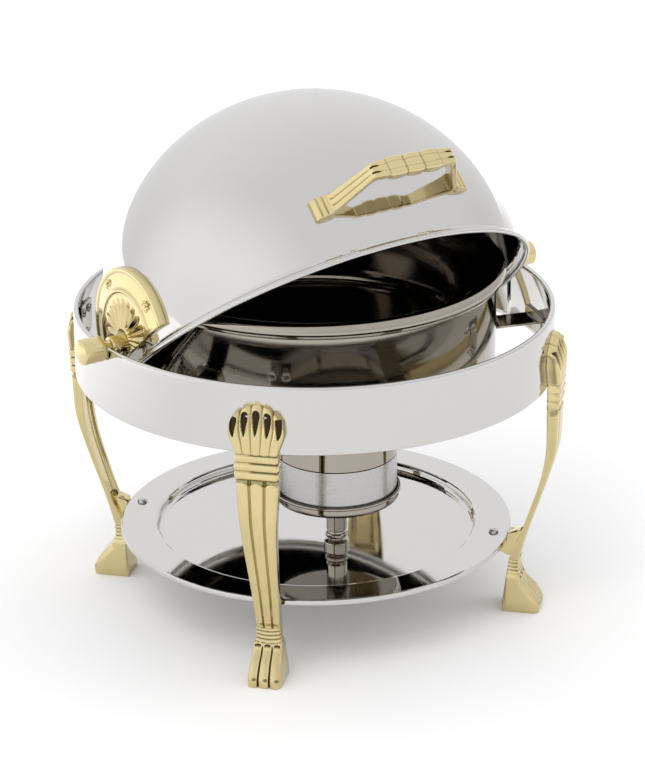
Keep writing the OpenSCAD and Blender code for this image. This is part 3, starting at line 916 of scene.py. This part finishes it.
@dataclass(frozen=True)
class Handle:
    """The cover's cast handle: ribbed feet and arms, slotted cuffs and three pillows."""

    grip: float = 28.0
    up: float = 7.5
    foot: float = 81.0
    inner: float = 63.0
    columns: int = 61
    side_pitch: float = 0.3
    arm_pitch: float = 0.16
    bend: float = 41.0

    FRONT = ((-81, 190.5), (-80.2, 192.4), (-78.5, 194.5), (-68, 199.5), (-65.6, 201.6),
             (-64, 204), (-44.6, 245.6), (-43, 247.6), (-41, 248.5), (-28, 248.5))
    BACK = ((-63, 195.5), (-62, 197), (-41, 238.4), (-39, 240), (-28, 240.5))
    WIDE = ((-81, 9.6), (-80, 10), (-67.5, 10), (-65.5, 8.9), (-44, 7.0), (-41, 7.5), (-34, 7.9),
            (-28, 8.2))

    def lobes(self, x: np.ndarray) -> np.ndarray:
        """Fullness of the three pillows along the grip, 0..1."""
        inside = np.abs(x) < self.grip
        return np.where(inside, np.sqrt(np.abs(np.cos(math.pi * 1.5 * x / self.grip))), 0)

    def relief(self, x: np.ndarray, w: np.ndarray) -> Pair:
        """Shapes the front's ribs, slots and ridges.

        Args:
            x: Position of each point along the handle, millimetres.
            w: Position of each point across it, -1..1.

        Returns:
            How deep each point lies under the outline, and its painted shade.
        """
        a = np.abs(x)
        rib = notch(np.abs(w), 0.36, 0.13)
        arm = step(a, 44, 46) * step(a, 66.5, 65)
        taper = 0.13 * step(a, 33.5, 39)
        slot = step(np.abs(np.abs(w) - 0.4), taper + 0.02, np.maximum(taper - 0.05, 0))
        slot = slot * step(a, 44.6, 43.2)
        ridge = (notch(a, 70.8, 2.0) + notch(a, 76.0, 2.2)) * step(np.abs(w), 0.99, 0.93)
        deep = 2.2 * rib * arm + 1.7 * slot + 1.3 * ridge
        pillow = self.lobes(x)
        corner = np.clip((np.abs(w) - 0.78) / 0.22, 0, 1) ** 2
        crown = corner * (1.0 + 0.9 * (a < self.grip)) * (1 + 1.2 * arm)
        seam = (a < self.grip) * step(pillow, 0.55, 0.2)
        # Painted shade in the ribs, slots and ridges and in the creases between the pillows.
        tone = darkest(0.45 * rib * arm, 0.95 * slot, 0.35 * ridge, 0.45 * seam)
        return deep + crown, tone

    def half(self, x: np.ndarray, table: Sequence[Point]) -> np.ndarray:
        """A left-half table mirrored over the middle and read at x."""
        line = np.array(table)
        return np.interp(-np.abs(x), line[:, 0], line[:, 1])

    def build(self) -> bpy.types.Object:
        """Builds the handle on the cover.

        Returns:
            The handle, feet down to the dome.
        """
        stops = (-self.foot, -self.inner, -self.bend, 0)
        pitches = (self.side_pitch, self.arm_pitch, self.side_pitch)
        runs = [np.arange(*run) for run in zip(stops, stops[1:], pitches)]
        left = np.sort(np.concatenate(runs + [[-self.inner - 0.001]]))
        x = np.concatenate([left, [0.0], -left[::-1]])[:, None]
        w = np.linspace(-1, 1, self.columns)[None, :]
        pillow = self.lobes(x)
        front = self.half(x, self.FRONT) + 1.5 * pillow
        wide = self.half(x, self.WIDE) + 1.6 * pillow
        v = wide * w
        deep, tone = self.relief(x, w)
        base = np.sqrt(AT.dome_r ** 2 - x ** 2 - v ** 2) - 0.3
        edge = np.clip((np.abs(w) - 0.75) / 0.25, 0, 1) ** 2
        free = self.half(x, self.BACK) - pillow + 0.9 * edge
        back = np.where(np.abs(x) > self.inner, base, np.maximum(free, base))
        top = np.maximum(front - deep, back + 0.3)
        along_x = np.broadcast_to(x, v.shape)
        pairs = ((along_x, along_x), (-top, -back), (v, v))
        grid = np.stack([section(a, b, 3) for a, b in pairs], -1)
        dark = section(tone, np.zeros_like(tone), 3)
        tilt = Matrix.Rotation(-math.radians(self.up), 4, "X")
        thing = skin("handle_casting", grid, dark, cover_matrix() @ tilt)
        return hand_over(thing, Body.COVER, Slot.BRASS, "cover_handle")


# ---- turned pieces -----------------------------------------------------------------------------


def lathe(profile: Sequence[Point], segments: int) -> np.ndarray:
    """Sweeps a profile about +Z.

    Args:
        profile: Points as (radius, height).
        segments: Steps round the axis.

    Returns:
        Grid of points: rows go round, columns go along the profile.
    """
    turn = np.linspace(0, 2 * math.pi, segments, endpoint=False)
    p = np.asarray(profile, float)
    return np.stack([np.outer(np.cos(turn), p[:, 0]), np.outer(np.sin(turn), p[:, 0]),
                     np.repeat(p[None, :, 1], segments, 0)], -1)


def arc(centre: Point, radius: float, first: float, last: float, count: int = 10) -> list[Point]:
    """Points of a circular arc, degrees."""
    turn = np.radians(np.linspace(first, last, count + 1))
    return [(centre[0] + radius * math.cos(t), centre[1] + radius * math.sin(t)) for t in turn]


@dataclass(frozen=True)
class Pivot:
    """Turned brass on one side of the cover: the hub collar with its neck, and the knob."""

    side: int
    knob: float = 12.0
    hub: float = 9.0
    neck: float = 5.0
    faces: tuple[float, float] = (206.5, 222.5)
    knob_in: float = 231.0

    def turned(self, name: str, line: Sequence[Point], node: str) -> bpy.types.Object:
        """One piece turned about the pivot line.

        Args:
            name: Name of the object.
            line: Profile as (radius, distance along the pivot line), from axis to axis.
            node: CAD node it stands for.

        Returns:
            The piece on the cover.
        """
        grid = lathe(line, 160).transpose(1, 0, 2)
        lean = Matrix.Rotation(self.side * math.radians(90), 4, "Y")
        thing = skin(name, grid, None, cover_matrix() @ lean)
        return hand_over(thing, Body.COVER, Slot.BRASS, node)

    def build(self) -> None:
        """Builds the hub collar with its neck, and the knob."""
        word = "right" if self.side > 0 else "left"
        low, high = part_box(f"pivot_shaft_{word}")
        ends = sorted(abs(v) / MM for v in (low.x, high.x))
        k, end, start = self.knob, AT.knob_end, self.knob_in
        collar = self.faces[1]
        shaft = ([(0.001, ends[0]), (self.neck - 0.5, ends[0]), (self.neck, ends[0] + 0.5),
                  (self.neck, self.faces[0])] + [(self.hub - 0.5, self.faces[0])]
                 + [(self.hub, self.faces[0] + 0.5), (self.hub, collar - 1.2)]
                 + arc((self.hub - 1.2, collar - 1.2), 1.2, 0, 90, 6)
                 + [(self.neck, collar), (self.neck, start), (3.0, start), (3.0, ends[1]),
                    (0.001, ends[1])])
        dome = [(r, end - r * r / 52) for r in (9.6, 8.4, 7.0, 5.4, 3.6, 1.8, 0.001)]
        knob = ([(3.05, start)] + arc((k - 0.8, start + 0.8), 0.8, -90, 0, 5)
                + arc((k - 1.9, end - 3.9), 1.9, 0, 70, 8) + dome
                + [(0.001, start + 15), (3.05, start + 15), (3.05, start)])
        self.turned(f"shaft_{word}_turned", shaft, f"pivot_shaft_{word}")
        self.turned(f"knob_{word}_turned", knob, f"pivot_knob_{word}")


@dataclass(frozen=True)
class Ring:
    """The deep polished band, finely turned: rolled top hem, small bottom hem, pivot notches."""

    thick: float = 1.5
    hem: float = 2.6
    low_hem: float = 1.2
    notch: float = 5.05
    segments: int = 720

    def build(self) -> bpy.types.Object:
        """Builds the band with its notches cut.

        Returns:
            The ring on the root.
        """
        r, top, low = AT.ring_r, AT.ring_top, AT.ring_low
        inner = r - self.thick
        outline = (arc((r - self.low_hem, low + self.low_hem), self.low_hem, 210, 360, 10)
                   + [(r, low + 4), (r, top - self.hem - 4)]
                   + arc((r - self.hem, top - self.hem), self.hem, 0, 270, 26)
                   + [(inner - 0.35, top - 2 * self.hem + 0.05), (inner, top - 2 * self.hem - 0.6),
                      (inner, low + 4)])
        grid = lathe(outline, self.segments)
        thing = skin("ring_shell", np.vstack([grid, grid[:1]]))
        cutter = self.cutter()
        cut = thing.modifiers.new("notch", "BOOLEAN")
        cut.operation, cut.solver, cut.object = "DIFFERENCE", "EXACT", cutter
        ready = bpy.context.evaluated_depsgraph_get()
        mesh = bpy.data.meshes.new_from_object(thing.evaluated_get(ready))
        thing.modifiers.remove(cut)
        thing.data = mesh
        bpy.data.objects.remove(cutter)
        return hand_over(thing, Body.ROOT, Slot.MIRROR, "ring_band")

    def cutter(self) -> bpy.types.Object:
        """A round-bottomed slot tool across the ring at the pivot line.

        Returns:
            The tool as a closed mesh object.
        """
        n = self.notch
        line = arc((0, AT.pivot_z), n, 180, 360, 24) + [(n, AT.ring_top + 9), (-n, AT.ring_top + 9)]
        rows = [np.array([(x, a, b) for a, b in line]) for x in (-260.0, 260.0)]
        return skin("notch_tool", np.stack(rows))


# ---- straps and weld marks ---------------------------------------------------------------------


@dataclass(frozen=True)
class StrapPlate:
    """Rounded backing plate between a strap's outer end and the ring's inner wall."""

    name: str
    angle: float
    half: float = 27.0
    low: float = 241.5
    high: float = 264.0
    corner: float = 8.0
    thick: float = 1.0

    def build(self) -> bpy.types.Object:
        """Builds the plate, bent to the ring.

        Returns:
            The plate on the root.
        """
        wall = AT.ring_r - Ring().thick - 0.02
        edge = self.half - self.corner * (1 - np.sin(np.linspace(0, 1, 12) * math.pi / 2))
        across = np.concatenate([-edge[::-1], np.linspace(-edge[0], edge[0], 17)[1:-1], edge])
        into = np.clip(np.abs(across) - (self.half - self.corner), 0, self.corner)
        cut = self.corner - np.sqrt(self.corner ** 2 - into ** 2)
        share = np.linspace(0, 1, 9)[None, :]
        z = (self.low + cut)[:, None] * (1 - share) + (self.high - cut)[:, None] * share
        turn = np.radians(self.angle) + across[:, None] / wall
        faces = [np.stack(np.broadcast_arrays(r * np.sin(turn), -r * np.cos(turn), h), -1)
                 for r, h in ((wall - self.thick, z), (wall, z[:, ::-1]))]
        return hand_over(skin(self.name, np.hstack(faces)), Body.ROOT, Slot.POLISHED)


@dataclass(frozen=True)
class Weld:
    """A node group: one stud-weld mark, a low ring round a flat button, on every point."""

    ring: float = 3.7
    bead: float = 0.6
    button: float = 2.5

    MARKS = ((-45.2, 290.0), (-40.7, 290.0), (22.3, 306.5), (25.9, 306.5), (23.9, 285.0))

    def tree(self) -> bpy.types.NodeTree:
        """Builds the node group; each mark faces away from the vertical axis.

        Returns:
            The group, with the mark's sizes and material as inputs.
        """
        g = Growth("weld_mark", (("Ring", "NodeSocketFloat", self.ring * MM),
                                 ("Bead", "NodeSocketFloat", self.bead * MM),
                                 ("Button", "NodeSocketFloat", self.button * MM),
                                 ("Material", "NodeSocketMaterial", None)))
        path = g.add("CurvePrimitiveCircle", {"Resolution": 32, "Radius": g.given["Ring"]})
        cross = g.add("CurvePrimitiveCircle", {"Resolution": 10, "Radius": g.given["Bead"]})
        ring = g.add("CurveToMesh", {"Curve": path.outputs[0], "Profile Curve": cross.outputs[0]})
        ball = g.add("MeshUVSphere", {"Segments": 24, "Rings": 10, "Radius": g.given["Button"]})
        flat = g.add("Transform", {"Geometry": ball.outputs[0], "Scale": (1.0, 1.0, 0.16)})
        mark = g.add("JoinGeometry", {0: [ring.outputs[0], flat.outputs[0]]})
        level = g.add("VectorMath", {0: g.add("InputPosition").outputs[0], 1: (1.0, 1.0, 0.0)},
                      operation="MULTIPLY")
        face = g.add("AlignRotationToVector", {"Vector": level.outputs[0]}, axis="Z")
        placed = g.add("InstanceOnPoints", {"Points": g.geometry, "Instance": mark.outputs[0],
                                            "Rotation": face.outputs[0]})
        return g.close(placed.outputs[0])

    def build(self) -> None:
        """Builds the marks on the pan's wall, the same on opposite sides."""
        spots = []
        for half_turn in (0.0, 180.0):
            for angle, height in self.MARKS:
                a = math.radians(angle + half_turn)
                spots.append((AT.pan_r * MM * math.sin(a), -AT.pan_r * MM * math.cos(a),
                              height * MM))
        marks = grow("pan_weld_marks", spots, self.tree(), {}, slot=Slot.POLISHED)
        hand_over(marks, Body.ROOT, Slot.POLISHED)


# ---- stage -------------------------------------------------------------------------------------


@dataclass(frozen=True)
class Studio:
    """Floor, soft light and the camera."""

    azimuth: float = 32.221
    elevation: float = 21.809
    distance: float = 3.0123
    lens: float = 145.66
    roll: float = 0.385
    aim: tuple[float, float, float] = (0.0061, -0.0038, 0.21214)

    # Light of the cove: axis of the view direction, where it starts and ends, strength there.
    COVE = ((2, -0.05, 0.6, 0.92, 1.03), (1, 0.0, 0.9, 0.0, 0.12), (0, -0.35, -0.95, 0.0, 0.3))
    # Lamps: name, place in metres, diameter, watts.
    LAMPS = (("key", (-1.6, -1.0, 2.4), 1.6, 15.0), ("fill", (2.2, -1.2, 1.4), 1.8, 9.0))

    def camera(self) -> None:
        """Places the camera at the catalogue view: from the front left, a little above."""
        a, e = math.radians(self.azimuth), math.radians(self.elevation)
        back = Vector((-math.sin(a) * math.cos(e), -math.cos(a) * math.cos(e), math.sin(e)))
        data = bpy.data.cameras.new("view")
        data.lens = self.lens
        data.clip_end = 20
        camera = bpy.data.objects.new("view", data)
        turn = back.to_track_quat("Z", "Y").to_matrix().to_4x4()
        spin = Matrix.Rotation(math.radians(-self.roll), 4, "Z")
        place = Matrix.Translation(Vector(self.aim) + self.distance * back)
        camera.matrix_world = place @ turn @ spin
        bpy.context.scene.collection.objects.link(camera)
        bpy.context.scene.camera = camera

    def floor(self) -> None:
        """A wide pale floor just under the feet, which glows as painted light, more towards the back."""
        sketch = bmesh.new()
        bmesh.ops.create_grid(sketch, x_segments=1, y_segments=1, size=6.0)
        mesh = bpy.data.meshes.new("floor")
        sketch.to_mesh(mesh)
        sketch.free()
        floor = bpy.data.objects.new("floor", mesh)
        floor.location.z = -0.0002
        bpy.context.scene.collection.objects.link(floor)
        s = Shader("floor_paper")
        place = s.add("TexCoord").outputs["Object"]
        rough = s.ramp(s.noise(place, 30.0), 0.3, 0.7, 0.75, 0.85)
        # The floor's emission is painted light, growing towards the back of the set.
        mesh.materials.append(s.finish(s.add("BsdfPrincipled", {
            "Base Color": linear("F8F7F6"), "Roughness": rough,
            "Emission Color": linear("FFFEFC"), "Emission Strength": self.behind(s, place, 0.6)})))

    @staticmethod
    def behind(s: Shader, place: bpy.types.NodeSocket, most: float) -> bpy.types.NodeSocket:
        """Extra light that grows towards the back of the set, where the cove is lit hardest.

        Args:
            s: Shader of the floor.
            place: Its object coordinates.
            most: Strength far back.

        Returns:
            The strength as a socket.
        """
        axes = s.add("SeparateXYZ", {0: place})
        depth = s.math("ADD", axes.outputs[1], s.math("MULTIPLY", axes.outputs[0], -0.35))
        node = s.add("MapRange", {0: depth, 1: 0.2, 2: 1.4, 3: 0.0, 4: most},
                     clamp=True, interpolation_type="SMOOTHSTEP")
        return node.outputs[0]

    def sky(self) -> None:
        """A white cove: brightest at the back and on the left, softer low down in front."""
        world = bpy.data.worlds.new("cove")
        world.use_nodes = True
        bpy.context.scene.world = world
        tree = world.node_tree
        tree.nodes.clear()
        new, link = tree.nodes.new, tree.links.new
        place, axes = new("ShaderNodeTexCoord"), new("ShaderNodeSeparateXYZ")
        link(place.outputs["Generated"], axes.inputs[0])
        parts = []
        for axis, *values in self.COVE:
            part = new("ShaderNodeMapRange")
            part.interpolation_type = "SMOOTHSTEP"
            for index, value in enumerate(values, start=1):
                part.inputs[index].default_value = value
            link(axes.outputs[axis], part.inputs[0])
            parts.append(part.outputs[0])
        total = parts[0]
        for part in parts[1:]:
            sum_node = new("ShaderNodeMath")
            link(total, sum_node.inputs[0])
            link(part, sum_node.inputs[1])
            total = sum_node.outputs[0]
        glow, out = new("ShaderNodeBackground"), new("ShaderNodeOutputWorld")
        glow.inputs["Color"].default_value = linear("FCFDFF")
        link(total, glow.inputs["Strength"])
        link(glow.outputs[0], out.inputs["Surface"])

    def lights(self) -> None:
        """One large soft key above left and a weak fill from the right."""
        for name, place, size, power in self.LAMPS:
            data = bpy.data.lights.new(name, "AREA")
            data.shape, data.size, data.energy = "DISK", size, power
            light = bpy.data.objects.new(name, data)
            light.visible_glossy = False
            aim = Vector(self.aim) - Vector(place)
            turn = aim.to_track_quat("-Z", "Y").to_matrix().to_4x4()
            light.matrix_world = Matrix.Translation(place) @ turn
            bpy.context.scene.collection.objects.link(light)

    def build(self) -> None:
        """Sets the whole stage."""
        self.camera()
        self.floor()
        self.sky()
        self.lights()
        view = bpy.context.scene.view_settings
        view.view_transform, view.look, view.exposure = "Standard", "None", 0.0


# ---- main --------------------------------------------------------------------------------------

FINISHES = {
    # Stainless steel, mirror polished: clear reflections under a faint wiped haze.
    "mirror_steel": Steel("stainless_mirror_polished", "C9C7C4", 0.035, 0.05),
    # Stainless steel, spun and polished: darker, warmer reflections, drawn out along the rings.
    "polished_steel": Steel("stainless_spun_polished", "A39C91", 0.06, 0.07, Grain.SPUN,
                            ring_depth=0.000003),
    # Stainless steel, turned and brushed: soft bands of light round the burner's axis.
    "brushed_steel": Steel("stainless_turned_brushed", "B9B8B7", 0.24, 0.08, Grain.SPUN,
                           centre=(AT.burner[0] * MM, AT.burner[1] * MM), ring_depth=0.00002),
    # Cast brass, polished and lacquered: pale gold highs, dark brown painted shade in the recesses.
    "polished_brass": Brass("brass_cast_polished", "D6C592", "33270F", 0.07),
}
LEGS = {"leg_front_left": -45, "leg_front_right": 45, "leg_rear_left": -135, "leg_rear_right": 135}
STRAPS = {"front": 0, "left": -75, "right": 75}


def main() -> None:
    """Builds every piece."""
    logging.basicConfig(level=logging.INFO, format="%(message)s")
    Studio().build()
    MADE.update({name: finish.build() for name, finish in FINISHES.items()})
    for part in frame["record"]["subparts"]:
        node = frame["nodes"][part["node"]]
        for index in range(len(node.data.materials)):
            node.material_slots[index].material = MADE[part["material_slot"]]
    for name, angle in LEGS.items():
        Leg(name, angle).build()
    for side in (-1, 1):
        Medallion(side).build()
        Pivot(side).build()
    Handle().build()
    Ring().build()
    for word, angle in STRAPS.items():
        StrapPlate(f"strap_plate_{word}", angle).build()
    Weld().build()


if __name__ == "__main__":
    main()
